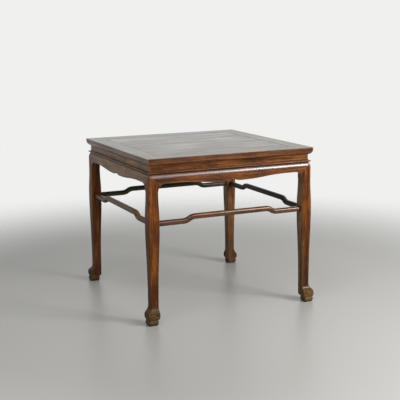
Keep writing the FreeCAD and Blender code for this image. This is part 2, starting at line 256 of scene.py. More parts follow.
def turned_copy(piece, name, quarters):
    """Copy of a piece with its own mesh, turned about the middle of the table."""
    activate(piece)
    bpy.ops.object.duplicate(linked=False)
    copy = bpy.context.object
    copy.name = name
    copy.data.name = name
    copy.rotation_euler.z = QUARTER_TURN * quarters
    bpy.ops.object.transform_apply(location=False, rotation=True, scale=False)
    return copy


def hand_over(piece, node, finish):
    piece.data.materials.clear()
    piece.data.materials.append(finish)
    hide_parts(node)
    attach(piece, "root")


def hand_over_all(kind, first, places, grains, looks):
    """Copies a first piece to the other places and gives each its own finish."""
    for quarters, (place, grain, look) in enumerate(zip(places, grains, looks)):
        node = kind + "_" + place
        piece = turned_copy(first, node + "_wood", quarters) if quarters else first
        finish = rosewood("waxed_rosewood_" + node, grain, seed(kind, quarters), **look)
        hand_over(piece, node, finish)


def round_arc(centre, radius, start, end, count):
    """Points of an arc between two angles, without its start."""
    turns = [start + (end - start) * number / count for number in range(1, count + 1)]
    return [(centre[0] + radius * math.cos(turn), centre[1] + radius * math.sin(turn)) for turn in turns]


def eased_arc(start, end, count, level=False):
    """Points of an arc that leaves its start upright, or level, and runs to its end."""
    side, rise = end[0] - start[0], end[1] - start[1]
    if level:
        side, rise = rise, side
    radius = (side ** 2 + rise ** 2) / (2 * side)
    whole = math.atan2(abs(rise), abs(radius) - abs(side))
    points = []
    for number in range(1, count + 1):
        turn = whole * number / count
        aside = radius * (1 - math.cos(turn))
        ahead = math.copysign(radius, rise) * math.sin(turn)
        step = (ahead, aside) if level else (aside, ahead)
        points.append((start[0] + step[0], start[1] + step[1]))
    return points


def level_s_curve(start, end, count):
    """Points of two arcs that meet half way and leave both ends level."""
    meeting = ((start[0] + end[0]) / 2, (start[1] + end[1]) / 2)
    second = [end] + eased_arc(end, meeting, count, level=True)[:-1]
    return eased_arc(start, meeting, count, level=True) + second[::-1]


def swept(name, outline, low, high, along):
    """Bar made by extruding the flat first strip of its cross-section from corner to corner."""
    across = 1 - along
    near, far = outline[0][0], outline[1][0]
    place, scale = [0.0, 0.0, outline[0][1]], [1.0, 1.0, 1.0]
    place[along], scale[along] = (low + high) / 2, high - low
    place[across], scale[across] = (near + far) / 2, abs(far - near)
    bar = blank(PLANE, name, place, scale)
    edit(bar)
    choose(bar, "edges", lambda edge: all(abs(v.co[across] - far) < TINY for v in edge.verts))
    for start, end in zip(outline[1:], outline[2:] + outline[:1]):
        step = [0.0, 0.0, end[1] - start[1]]
        step[across] = end[0] - start[0]
        bpy.ops.mesh.extrude_region_move(TRANSFORM_OT_translate={"value": step})
    bpy.ops.mesh.select_all(action="SELECT")
    bpy.ops.mesh.remove_doubles(threshold=TINY)
    bpy.ops.mesh.fill_holes(sides=0)
    face_outwards()
    return bar


def front_stock(name, section):
    """Whole bar of the front side; the section's distances are measured out from the middle."""
    reach = CAD_BOX[1][0]
    return swept(name, [(-out, height) for out, height in section], -reach, reach, 0)


def mitred(bar):
    """Mitres both ends of a bar of the front side."""
    trim(bar, (0, 0, 0), (1, 1, 0))
    trim(bar, (0, 0, 0), (-1, 1, 0))
    return bar


def add(tree, kind, inputs=(), ramp=(), **settings):
    """Adds a node, sets its properties, and sets or links its inputs, a node by its first output."""
    node = tree.nodes.new(kind)
    for name, value in settings.items():
        setattr(node, name, value)
    for key, value in inputs.items() if isinstance(inputs, dict) else enumerate(inputs):
        if isinstance(value, bpy.types.Node):
            value = value.outputs[0]
        if isinstance(value, bpy.types.NodeSocket):
            tree.links.new(value, node.inputs[key])
        else:
            node.inputs[key].default_value = value
    for number, (position, shade) in enumerate(ramp):
        stops = node.color_ramp.elements
        stop = stops[number] if number < 2 else stops.new(position)
        stop.position = position
        stop.color = shade
    return node


# Where each kind of piece starts in the pattern, the step to the next piece, and the pattern's shift for each
SEEDS = {"frame_rail": (3.1, 1.0), "panel_board": (11.7, 2.3), "panel_batten": (23.0, 1.0),
         "waist": (31.3, 1.9), "fillet": (37.9, 1.9), "apron": (43.1, 3.7), "leg": (57.3, 2.9),
         "stretcher": (71.9, 4.3)}
SEED_SHIFT = (1.37, 0.61, 0.43)
# Turns that bring each grain direction onto the pattern's X
GRAIN_TURNS = {"X": (0, 0, 0), "Y": (0, 0, -QUARTER_TURN), "Z": (0, QUARTER_TURN, 0)}
# Features for each metre along and across the grain, detail and distortion of the wood's noises
GRAIN = {
    # Figure about 450 mm long and 18 mm wide
    "figure": ((2.2, 55, 55), 4.0, 0.3),
    # Lines in it about 140 mm long and 5 mm wide
    "line": ((7, 190, 190), 4.0, 0.2),
    # Flecks about 30 mm long and 3 mm wide
    "fleck": ((34, 330, 330), 3.0, 0.0),
    # Open pores about 30 mm long and 0.8 mm wide
    "pore": ((33, 1200, 1200), 3.0, 0.0),
    # Patches of lighter and darker wood about 140 mm across
    "patch": ((7, 7, 7), 4.0, 0.0),
    # Duller streaks in the wax about 300 mm long and 70 mm wide
    "smudge": ((3, 14, 14), 4.0, 0.0)}
NOISE_ROUGHNESS = 0.6
# Noises laid over the figure in turn, and how much each counts
VEIN_LAYERS = (("line", 0.62), ("patch", 0.22), ("fleck", 0.22))
# Dark, light and middle wood of each finish, and their places on the ramp
REDDISH = ("dark_vein", "light_vein", "heartwood")
BLEACHED = ("top_vein", "top_light", "top_wood")
PALETTES = {"body": REDDISH, "waist": REDDISH, "apron": REDDISH, "rail": REDDISH,
            "painted_shade": ("painted_shade_vein", "painted_shade_pale", "soot_wood"),
            "dust_and_sheen": ("dust_and_sheen_vein", "dust_and_sheen_light", "dusty_wood"),
            "top": BLEACHED, "dry": BLEACHED}
RAMP_STOPS = (0.40, 0.61, 0.505)
# Strength of the mirror gloss and of the wax coat on each finish
GLOSS = {"body": (0.08, 0.18), "waist": (0.10, 0.24), "apron": (0.10, 0.80), "rail": (0.25, 0.45),
         "painted_shade": (0.15, 0.10), "dust_and_sheen": (0.10, 0.32), "top": (0.90, 0.66), "dry": (0.10, 0.0),
         "patina": (0.10, 0.0)}
WOOD_IOR, WAX_IOR, WAX_ROUGHNESS = 1.5, 1.45, 0.21
# Ageing and painted shade: two values of what is read, and the two amounts that they stand for
PORE_DEPTH = (0.48, 0.34, 0.0, 0.55)
ARRIS_BEND = (0.99, 0.86, 0.0, 0.8)
ARRIS_AIR = (0.55, 0.90, 0.0, 1.0)
ARRIS_PATCHES = (0.35, 0.65, 0.15, 1.0)
CORNER_GRIME_AND_SHADE = (0.35, 0.80, 0.80, 0.0)
LEG_HEIGHT_SHADE = (0.10, 0.55, 0.48, 1.0)
FOOT_OUTER_FACES = (0.460, 0.478, 0.0, 1.0)
PAD_PATINA = (0.034, 0.024, 0.0, 0.7)
KNOCK_STRENGTH = (0.0, 0.65)
# Values of a noise between which ochre spots and dull wax come in, and cosines between which the rail's
# upright band is darkened with painted shade against its ovolo, left lighter as a painted reflection of the
# floor
OCHRE_SPOTS = (0.32, 0.68)
WAX_STREAKS = (0.35, 0.65)
PAINTED_BAND_FACING = (-0.7, 0.0)
# How far wax is below and above its middle roughness where it is most uneven, and the figure's part in that
WAX_SWING = (-0.8, 1.2)
WAX_FIGURE = 0.35
# Worn arris, reach of the old wax and painted shade in a corner, fade of the patina and knocked corners of
# the top, in metres
ARRIS_RADIUS = 0.004
GRIME_AND_SHADE_REACH = 0.016
PATINA_FADE = 0.012
KNOCK_START, KNOCK_END, KNOCK_RAGGED = 0.003, 0.014, 0.024
# Spots about 8 mm across on the knocked corners and on the feet
KNOCK_NOISE = {"Scale": 120.0, "Detail": 4.0, "Roughness": NOISE_ROUGHNESS}
OCHRE_NOISE = {"Scale": 130.0, "Detail": 4.0, "Roughness": NOISE_ROUGHNESS}
# Relief of the open grain, the lines' part in it, and relief of the hand plane's marks
GRAIN_RELIEF = {"Strength": 0.3, "Distance": 0.0004}
LINE_RELIEF = 0.5
PLANE_RELIEF = {"Strength": 0.2, "Distance": 0.0012}


def seed(kind, number):
    start, step = SEEDS[kind]
    return start + step * number


def rosewood(name, grain, start, palette="body", tint=1.0, band_shade=1.0, polish=0.42, uneven=0.1,
             second=None, corners=None, patina=None):
    """Old waxed rosewood: straight reddish heartwood with dark veins, open pores, old wax and painted shade
    darkening the corners and arrises rubbed pale, under a satin wax that gives broad soft highlights.

    A second finish is given by its palette, the way that its faces look, the cosines where it comes in
    and is full, and its strength. Corners is how far out the knocked corners of the top are. Patina is
    how far a foot is rubbed down to ochre, and the height that its patina reaches."""
    shades = colours()
    finish = bpy.data.materials.new(name)
    finish.use_nodes = True
    tree = finish.node_tree
    tree.nodes.clear()
    place = add(tree, "ShaderNodeTexCoord").outputs["Object"]
    turned = add(tree, "ShaderNodeMapping", {
        "Vector": place, "Rotation": GRAIN_TURNS[grain], "Location": [start * step for step in SEED_SHIFT]})
    noises = {}
    for layer, (scale, detail, distortion) in GRAIN.items():
        stretched = add(tree, "ShaderNodeMapping", {"Vector": turned, "Scale": scale})
        noises[layer] = add(tree, "ShaderNodeTexNoise", {
            "Vector": stretched, "Scale": 1.0, "Detail": detail, "Roughness": NOISE_ROUGHNESS,
            "Distortion": distortion})
    veins = noises["figure"]
    for layer, share in VEIN_LAYERS:
        veins = add(tree, "ShaderNodeMix", {0: share, 2: veins, 3: noises[layer]})
    woods = []
    for wood in (palette, second[0]) if second else (palette,):
        ramp = [(stop, getattr(shades, shade)) for stop, shade in zip(RAMP_STOPS, PALETTES[wood])]
        woods.append(add(tree, "ShaderNodeValToRGB", {"Fac": veins}, ramp=ramp))
    shade = woods[0]
    coats = [(palette, None)]
    surface = add(tree, "ShaderNodeNewGeometry").outputs["Normal"]
    if second:
        # Faces that look one way take other colours: a bleached top, painted shade on the inner faces of two
        # stretchers, and dust and painted sheen on an inner face of two legs
        other, way, low, high, strength = second
        facing = add(tree, "ShaderNodeVectorMath", (surface, way), operation="DOT_PRODUCT").outputs["Value"]
        # Painted shade and reflection: upright faces darkened by the band shade, downward faces such as the
        # rail's ovolo kept lighter as the floor's reflection
        band_light = add(tree, "ShaderNodeMapRange", (facing, *PAINTED_BAND_FACING, 1.0, band_shade))
        turned_share = add(tree, "ShaderNodeMapRange", (facing, low, high, 0.0, 1.0))
        shade = add(tree, "ShaderNodeHueSaturation", {"Color": shade, "Value": band_light})
        fresh = add(tree, "ShaderNodeHueSaturation", {"Color": woods[1], "Value": strength / tint})
        shade = add(tree, "ShaderNodeMix", {0: turned_share, 6: shade, 7: fresh}, data_type="RGBA").outputs[2]
        coats.append((other, turned_share))
    pores = add(tree, "ShaderNodeMapRange", (noises["pore"], *PORE_DEPTH))
    dark = getattr(shades, PALETTES[palette][0])
    shade = add(tree, "ShaderNodeMix", {0: pores, 6: shade, 7: dark}, data_type="RGBA").outputs[2]
    if tint != 1.0:
        shade = add(tree, "ShaderNodeHueSaturation", {"Color": shade, "Value": tint})
    # Edges rubbed pale: the rounded normal leaves the true one near an arris
    rounded = add(tree, "ShaderNodeBevel", {"Radius": ARRIS_RADIUS}, samples=4)
    bend = add(tree, "ShaderNodeVectorMath", (rounded, surface), operation="DOT_PRODUCT").outputs["Value"]
    air = add(tree, "ShaderNodeAmbientOcclusion", {"Distance": GRIME_AND_SHADE_REACH}, samples=6).outputs["AO"]
    rub = add(tree, "ShaderNodeMapRange", (bend, *ARRIS_BEND))
    for value, limits in ((air, ARRIS_AIR), (noises["patch"], ARRIS_PATCHES)):
        limit = add(tree, "ShaderNodeMapRange", (value, *limits))
        rub = add(tree, "ShaderNodeMath", (rub, limit), operation="MULTIPLY")
    if corners or patina:
        # Distances from the middle of the table, and the height
        distance = add(tree, "ShaderNodeVectorMath", (place,), operation="ABSOLUTE")
        out_x, out_y, height = add(tree, "ShaderNodeSeparateXYZ", (distance,)).outputs
    if corners:
        # Corners of the top knocked and rubbed pale along a ragged line
        inside = add(tree, "ShaderNodeMath", (out_x, out_y), operation="MINIMUM")
        spots = add(tree, "ShaderNodeTexNoise", {"Vector": place, **KNOCK_NOISE})
        ragged = add(tree, "ShaderNodeMath", (spots, KNOCK_RAGGED, inside), operation="MULTIPLY_ADD")
        knock = add(tree, "ShaderNodeMapRange", (
            ragged, corners + KNOCK_START, corners + KNOCK_END, *KNOCK_STRENGTH))
        rub = add(tree, "ShaderNodeMath", (rub, knock), operation="MAXIMUM")
    paints = []
    if patina:
        ochre, reach = patina
        # Legs darkened toward the floor
        shadow = add(tree, "ShaderNodeMapRange", (height, *LEG_HEIGHT_SHADE))
        # Olive patina on the outer faces of the carved foot, with ochre where brooms have rubbed it
        outer = add(tree, "ShaderNodeMath", (out_x, out_y), operation="MAXIMUM")
        outer_faces = add(tree, "ShaderNodeMapRange", (outer, *FOOT_OUTER_FACES))
        low_down = add(tree, "ShaderNodeMapRange", (height, reach, reach - PATINA_FADE, 0.0, 1.0))
        block = add(tree, "ShaderNodeMath", (low_down, outer_faces), operation="MULTIPLY")
        pad = add(tree, "ShaderNodeMapRange", (height, *PAD_PATINA))
        zone = add(tree, "ShaderNodeMath", (block, pad), operation="MAXIMUM")
        spots = add(tree, "ShaderNodeTexNoise", {"Vector": place, **OCHRE_NOISE})
        rubbed = add(tree, "ShaderNodeMapRange", (spots, *OCHRE_SPOTS, 0.0, ochre))
        rubbed = add(tree, "ShaderNodeMath", (zone, rubbed), operation="MULTIPLY")
        paints += [(1.0, shadow, "MULTIPLY"), (zone, shades.foot_dark, "MIX"),
                   (rubbed, shades.foot_gilt, "MIX")]
        coats.append(("patina", zone))
    # Old wax and painted shade: darker where the occlusion is deep, in corners, recesses and the carved
    # grooves
    dirt_and_shade = add(tree, "ShaderNodeMapRange", (air, *CORNER_GRIME_AND_SHADE))
    paints += [(rub, shades.worn_edge, "MIX"), (dirt_and_shade, shades.grime_and_shade, "MIX")]
    for amount, paint, mode in paints:
        shade = add(tree, "ShaderNodeMix", {0: amount, 6: shade, 7: paint}, data_type="RGBA",
                    blend_type=mode).outputs[2]
    # Wax rubbed unevenly over open grain and the marks of a hand plane
    dull = add(tree, "ShaderNodeMix", {0: WAX_FIGURE, 2: noises["smudge"], 3: noises["figure"]})
    swing = [polish + uneven * share for share in WAX_SWING]
    gloss = add(tree, "ShaderNodeMapRange", (dull, *WAX_STREAKS, *swing))
    open_grain = add(tree, "ShaderNodeMix", {0: LINE_RELIEF, 2: noises["pore"], 3: noises["line"]})
    relief = add(tree, "ShaderNodeBump", {"Height": open_grain, **GRAIN_RELIEF})
    relief = add(tree, "ShaderNodeBump", {"Height": noises["smudge"], "Normal": relief, **PLANE_RELIEF})
    wax = None
    for layer, amount in coats:
        mirror, coat = GLOSS[layer]
        satin = add(tree, "ShaderNodeBsdfPrincipled", {
            "Base Color": shade, "Roughness": gloss, "Normal": relief, "IOR": WOOD_IOR,
            "Specular IOR Level": mirror, "Coat Weight": coat, "Coat Roughness": WAX_ROUGHNESS,
            "Coat IOR": WAX_IOR})
        wax = satin if amount is None else add(tree, "ShaderNodeMixShader", (amount, wax, satin))
    add(tree, "ShaderNodeOutputMaterial", {"Surface": wax})
    return finish


class BuildFrameRails(bpy.types.Operator):
    """Four mitred rails with a moulded edge round the top"""
    bl_idname = "table.build_frame_rails"
    bl_label = "Frame rails"

    # Roughness of the wax on each rail in the order of the sides, how uneven it is, and the strength of the
    # painted shade on the upright band, against an ovolo left lighter as a painted reflection of the floor
    polish, uneven, band_tint = (0.44, 0.40, 0.40, 0.44), 0.16, 0.48
    upper_face = ("top", UP, 0.75, 0.98, 1.0)

    def execute(self, context):
        size = sizes()
        top, bottom, outer = RAIL_HIGH.z, RAIL_LOW.z, -RAIL_LOW.y
        inner = outer - size.rail_width
        lip = size.edge_softness
        ovolo_end = (outer - size.ovolo_depth, bottom)
        band_end = (outer - lip, top - size.band_height)
        ease_side = (outer, top - size.edge_ease)
        ease_top = (outer - size.edge_ease, top)
        ovolo = [band_end] + eased_arc(band_end, ovolo_end, count=12)[:-1]
        section = [(inner, bottom), ovolo_end] + ovolo[::-1] + [ease_side]
        section += eased_arc(ease_side, ease_top, count=5) + [(inner + lip, top), (inner, top - lip)]
        stock = front_stock("rail_stock", section)
        rail = mitred(turned_copy(stock, "frame_rail_front_wood", 0))
        cross = turned_copy(rail, "frame_rail_right_wood", 1)
        for end in (-1, 1):
            tenon = self.tenon(size, inner, end, -1, 0)
            combine(tenon, turned_copy(stock, "rail_end", end), "INTERSECT")
            combine(rail, tenon, "UNION")
            combine(cross, self.tenon(size, inner, 1, end, size.tenon_gap), "DIFFERENCE")
        bpy.data.objects.remove(stock)
        soften(rail, lip / 2)
        soften(cross, lip / 2)
        for quarters, side in enumerate(SIDES):
            node = "frame_rail_" + side
            first = cross if quarters % 2 else rail
            piece = turned_copy(first, node + "_wood", quarters - quarters % 2) if quarters > 1 else first
            finish = rosewood("waxed_rosewood_" + node, "XY"[quarters % 2], seed("frame_rail", quarters),
                              palette="rail", band_shade=self.band_tint, polish=self.polish[quarters],
                              uneven=self.uneven, second=self.upper_face, corners=RAIL_HIGH.x)
            hand_over(piece, node, finish)
        return {"FINISHED"}

    def tenon(self, size, inner, end, way, gap):
        """Through-tenon of a front or back rail, or with a gap the mortise for it."""
        reach = RAIL_HIGH.x
        place = (end * (inner + reach) / 2, way * size.tenon_out, RAIL_HIGH.z - size.tenon_drop)
        scale = (reach - inner + gap, size.tenon_width + 2 * gap, size.tenon_thickness + 2 * gap)
        return blank(CUBE, "rail_tenon", place, scale)


class BuildPanelBoards(bpy.types.Operator):
    """Floating boards of the top, each dried a little hollow"""
    bl_idname = "table.build_panel_boards"
    bl_label = "Panel boards"

    # Roughness that use has left on each board from front to back, and how uneven it is
    polish, uneven = (0.42, 0.38, 0.40, 0.36), 0.2
    upper_face = ("top", UP, 0.5, 0.9, 1.0)
    # The hollow's even part, and the part that comes and goes in waves along the board
    face_cuts, even_part, wavy_part = 15, 0.75, 0.25
    waves_along, wave_step = 9.0, 2.0

    def execute(self, context):
        size = sizes()
        half = -RAIL_LOW.y - size.rail_width - size.board_gap
        count = sum(1 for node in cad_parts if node.startswith("panel_board_"))
        width = 2 * half / count
        top = RAIL_HIGH.z - size.board_drop
        for number in range(count):
            node = "panel_board_" + str(number + 1)
            front = -half + width * number
            place = (0, front + width / 2, (top + BOARD_LOW.z) / 2)
            board = blank(CUBE, node + "_wood", place, (2 * half, width, top - BOARD_LOW.z))
            edit(board)
            choose(board, "edges", lambda edge: all(v.co.z > top - TINY for v in edge.verts))
            bpy.ops.mesh.bevel(offset=size.edge_softness, segments=2, affect="EDGES")
            choose(board, "faces", lambda face: face.normal.z > 1 - TINY)
            bpy.ops.mesh.subdivide(number_cuts=self.face_cuts)
            mesh = bmesh.from_edit_mesh(board.data)
            for vertex in mesh.verts:
                if vertex.select:
                    share = 2 * (vertex.co.y - front) / width - 1
                    wave = math.sin(self.waves_along * vertex.co.x + self.wave_step * number)
                    hollow = (1 - share ** 2) * (self.even_part + self.wavy_part * wave)
                    vertex.co.z -= size.board_cup * hollow
            bmesh.update_edit_mesh(board.data)
            smooth(board)
            finish = rosewood("waxed_rosewood_" + node, "X", seed("panel_board", number), palette="dry",
                              polish=self.polish[number % len(self.polish)], uneven=self.uneven,
                              second=self.upper_face)
            hand_over(board, node, finish)
        return {"FINISHED"}


class FinishBattens(bpy.types.Operator):
    """Unpolished wood for the battens under the boards"""
    bl_idname = "table.finish_battens"
    bl_label = "Battens"

    roughness = 0.6

    def execute(self, context):
        battens = [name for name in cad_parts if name.startswith("panel_batten_")]
        for number, name in enumerate(sorted(battens), start=1):
            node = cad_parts[name]
            finish = rosewood("dry_hardwood_" + name, "Y", seed("panel_batten", number), palette="dry",
                              polish=self.roughness)
            node.data.materials.clear()
            node.data.materials.append(finish)
        return {"FINISHED"}


class BuildWaist(bpy.types.Operator):
    """Recessed waist strips and the nosed fillets under them"""
    bl_idname = "table.build_waist"
    bl_label = "Waist and fillets"

    # Finish of the front, right and back strips, and of the left ones, paler and greyer with dust and a
    # painted grey sheen; the left fillet is darkened further with painted shade, for the shadow line under
    # its nose
    rubbed = ({"palette": "waist", "tint": 0.64},) * 3
    left_waist_dust_and_sheen = ({"palette": "dust_and_sheen", "tint": 1.25},)
    left_fillet_painted_shade = ({"palette": "dust_and_sheen", "tint": 0.6},)

    def execute(self, context):
        size = sizes()
        low, high = FILLET_HIGH.z, RAIL_LOW.z
        back, face = -WAIST_HIGH.y, -WAIST_LOW.y
        fascia = (face + size.fascia_depth, low + size.fascia_height - size.fascia_depth)
        section = [(back, low), (fascia[0], low), fascia]
        section += eased_arc(fascia, (face, low + size.fascia_height), count=5) + [(face, high), (back, high)]
        waist = mitred(front_stock("waist_front_wood", section))
        soften(waist, size.edge_softness / 2)
        base, nose = FILLET_LOW.z, -FILLET_LOW.y
        bead = (low - base) / 2
        section = [(back, base), (nose - bead, base)]
        section += round_arc((nose - bead, base + bead), bead, -QUARTER_TURN, QUARTER_TURN, 8)
        fillet = mitred(front_stock("fillet_front_wood", section + [(back, low)]))
        soften(fillet, size.edge_softness / 4)
        hand_over_all("waist", waist, SIDES, "XYXY", self.rubbed + self.left_waist_dust_and_sheen)
        hand_over_all("fillet", fillet, SIDES, "XYXY", self.rubbed + self.left_fillet_painted_shade)
        return {"FINISHED"}


class BuildAprons(bpy.types.Operator):
    """Cusped aprons with a rounded shoulder, mitred over the legs"""
    bl_idname = "table.build_aprons"
    bl_label = "Aprons"

    # Finish of the front, right and back aprons, and of the left one, paler and greyer with dust and a
    # painted grey sheen
    looks = ({"palette": "apron", "tint": 0.72},) * 3 + ({"palette": "dust_and_sheen"},)

    def execute(self, context):
        size = sizes()
        face, back = -APRON_LOW.y, -APRON_HIGH.y
        low, high = APRON_LOW.z, APRON_HIGH.z
        shoulder = (face, high - size.shoulder_height)
        section = [(back, low), (face, low), shoulder]
        section += eased_arc(shoulder, (face - size.shoulder_depth, high), count=10) + [(back, high)]
        apron = mitred(front_stock("apron_front_wood", section))
        combine(apron, self.lower_edge(size, face, low, high), "DIFFERENCE")
        trim(apron, (face, 0, high), (1, 0, -1))
        trim(apron, (-face, 0, high), (-1, 0, -1))
        soften(apron, size.edge_softness, 3)
        hand_over_all("apron", apron, SIDES, "XYXY", self.looks)
        return {"FINISHED"}

    def lower_edge(self, size, face, low, high):
        """Block in the shape of the space under the apron."""
        radius = size.corner_radius
        leg = face - size.leg_width
        centre = leg - radius
        level = centre + high - face
        flat_end = (centre - size.apron_flat, level + radius)
        lobe = (size.lobe_along, low)
        half = [(leg, level)] + round_arc((centre, level), radius, 0, QUARTER_TURN, 8)
        half += [flat_end] + level_s_curve(flat_end, lobe, 14)
        half += eased_arc(lobe, (0, low + size.notch_rise), level=True, count=12)
        other = [(-along, height) for along, height in half[-2::-1]]
        outline = [(-leg, level - radius), (leg, level - radius)] + half + other
        return swept("apron_cutter", outline, -2 * face, 0, 1)


class BuildLegs(bpy.types.Operator):
    """Legs that swell at the stretchers and end in carved out-turned feet"""
    bl_idname = "table.build_legs"
    bl_label = "Legs"

    # Finish of each leg in the order of the corners. The front right leg's low tint is painted shade that
    # darkens it against the lamp close to it; two legs take the paler, greyer wood of dust and a painted
    # sheen on an inner face
    looks = (
        {"tint": 0.65, "patina": (0.95, 0.074), "second": ("dust_and_sheen", (-1, 0, 0), 0.3, 0.7, 0.95)},
        {"tint": 0.90, "patina": (0.55, 0.074), "second": ("dust_and_sheen", (-0.86, -0.51, 0), 0.2, 0.9, 0.90)},
        {"tint": 0.86, "patina": (0.35, 0.074)},
        {"tint": 0.91, "patina": (0.55, 0.090)})
    # Cuts across each face, rows up the pad and the block, and points on each long curve
    face_cuts, pad_rows, block_rows, curve_points = 56, 14, 40, 22
    arris_radius = 0.0034
    # How far the outer faces of the pad and of the block stand out past the apron, from below
    sole_bulge, pad_bulge, pad_top_bulge = 0.013, 0.019, 0.014
    under_bulge, belly_bulge, lip_bulge = 0.0165, 0.021, 0.017
    # How far their inner faces are cut back from the ankle, and the ankle's outer faces from the apron
    sole_cut, pad_cut, pad_top_cut, under_cut = 0.014, 0.009, 0.011, 0.008
    ankle_inset = 0.001
    # Where the pad is widest, where the block's underside starts, and where the curves of the leg turn
    pad_belly_share, heel_share, calf_share, thigh_share = 0.55, 0.45, 0.67, 0.5
    # How far the spurs lap into the leg, and the play of the post behind the aprons
    spur_lap, post_play = 0.004, 0.0005
    # Scroll on the inner faces: its middle, first and last radius, turns, first angle, and the tail above it
    roll_inset, roll_radii, roll_turns, roll_start = 0.0205, (0.0165, 0.003), 1.6, 0.45 * math.pi
    tail_inset, tail_out, tail_lift = 0.0045, 0.012, 0.004
    # Scroll on the outer faces: its eye, first and last radius, turns, and the line that runs on from it
    eye_inset, eye_drop, curl_radii, curl_turns = 0.0125, 0.0130, (0.0090, 0.0045), 1.3
    ledge_drop, ledge_step, ledge_points = 0.0040, 0.0005, 120
    scroll_points, scroll_easing = 160, 0.8
    # Half widths of the cuts, the eye's depth beside the others, and the cleft down the pad's corner
    groove_width, eye_width, eye_share = 0.0016, 0.0030, 1.2
    cleft_depth, cleft_width, cleft_gap = 0.0035, 0.0035, 0.0005
    # Smallest part of a normal that makes a point belong to a face
    face_normal = 0.8
    # Mirror in the upright plane through the corner
    corner_mirror = Matrix(((0, -1, 0, 0), (-1, 0, 0, 0), (0, 0, 1, 0), (0, 0, 0, 1)))

    def execute(self, context):
        size = sizes()
        leg = self.shaft(size)
        self.join_head(leg, size)
        self.carve_foot(leg, size)
        activate(leg)
        bpy.ops.object.shade_smooth_by_angle(angle=CURVED_SHARP_ANGLE)
        hand_over_all("leg", leg, CORNERS, "ZZZZ", self.looks)
        return {"FINISHED"}

    def levels(self, size):
        """Height, outer and inner distance of each section, from the sole to the shoulder."""
        face, top = -APRON_LOW.y, APRON_HIGH.z
        inner = face - size.leg_width
        corner = inner - size.corner_radius + top - face
        ankle_out = face - self.ankle_inset
        ankle_in = ankle_out - size.ankle_width
        pad, lip = size.pad_height, size.pad_height + size.foot_height
        belly = self.pad_belly_share * pad
        pad_outer = self.round_edge((face + self.sole_bulge, 0), (face + self.pad_bulge, belly),
                                    (face + self.pad_top_bulge, pad))
        pad_inner = self.round_edge((ankle_in + self.sole_cut, 0), (ankle_in + self.pad_cut, belly),
                                    (ankle_in + self.pad_top_cut, pad))
        rows = []
        for number in range(self.pad_rows + 1):
            height = pad * number / self.pad_rows
            rows.append((height, pad_outer(height), pad_inner(height)))
        block = self.round_edge((face + self.under_bulge, pad), (face + self.belly_bulge, (pad + lip) / 2),
                                (face + self.lip_bulge, lip))
        heel = pad + self.heel_share * size.foot_height
        under = eased_arc((ankle_in, heel), (ankle_in + self.under_cut, pad), count=10)
        for number in range(self.block_rows + 1):
            height = pad + size.foot_height * number / self.block_rows
            behind = ankle_in
            if height < heel:
                behind = min(under, key=lambda point: abs(point[1] - height))[0]
            rows.append((height, block(height), behind))
        ankle = (ankle_out, size.ankle_height)
        flare = eased_arc(ankle, (face + self.lip_bulge, lip), count=18)
        rows += [(height, out, ankle_in) for out, height in flare[-2::-1]]
        knee_height = (STRETCHER_LOW.z + STRETCHER_HIGH.z - size.stretcher_rise) / 2 + size.knee_lift
        knee = (face + size.knee_bulge, knee_height)
        outer = self.long_curve(ankle, knee, self.calf_share)
        outer += self.long_curve(knee, (face, corner), self.thigh_share)
        knee_in = (knee[0] - size.knee_width, knee_height)
        back = self.long_curve((ankle_in, size.ankle_height), knee_in, self.calf_share)
        back += self.long_curve(knee_in, (inner, corner), self.thigh_share)
        rows += [(height, out, behind) for (out, height), (behind, same) in zip(outer, back)]
        shoulder = (face, top - size.shoulder_height)
        rows.append((shoulder[1], face, inner))
        rows += [(height, out, inner) for out, height in
                 eased_arc(shoulder, (face - size.shoulder_depth, top), count=10)]
        return rows

    def long_curve(self, start, end, share):
        """Points every few millimetres on a slow curve that leaves both ends upright."""
        meeting = (start[0] + share * (end[0] - start[0]), start[1] + share * (end[1] - start[1]))
        points = []
        for number in range(1, self.curve_points + 1):
            height = start[1] + (end[1] - start[1]) * number / self.curve_points
            near, far = (start, meeting) if height < meeting[1] else (end, meeting)
            side, rise = far[0] - near[0], far[1] - near[1]
            radius = (side ** 2 + rise ** 2) / (2 * side)
            fall = math.copysign(math.sqrt(radius ** 2 - (height - near[1]) ** 2), radius)
            points.append((near[0] + radius - fall, height))
        return points

    def round_edge(self, first, second, third):
        """Distance at a height on the circle through three points."""
        (ax, ay), (bx, by), (cx, cy) = first, second, third
        double = 2 * (ax * (by - cy) + bx * (cy - ay) + cx * (ay - by))
        a, b, c = ax ** 2 + ay ** 2, bx ** 2 + by ** 2, cx ** 2 + cy ** 2
        centre = ((a * (by - cy) + b * (cy - ay) + c * (ay - by)) / double,
                  (a * (cx - bx) + b * (ax - cx) + c * (bx - ax)) / double)
        radius = math.hypot(ax - centre[0], ay - centre[1])
        way = math.copysign(1, bx - centre[0])
        return lambda height: centre[0] + way * math.sqrt(radius ** 2 - (height - centre[1]) ** 2)

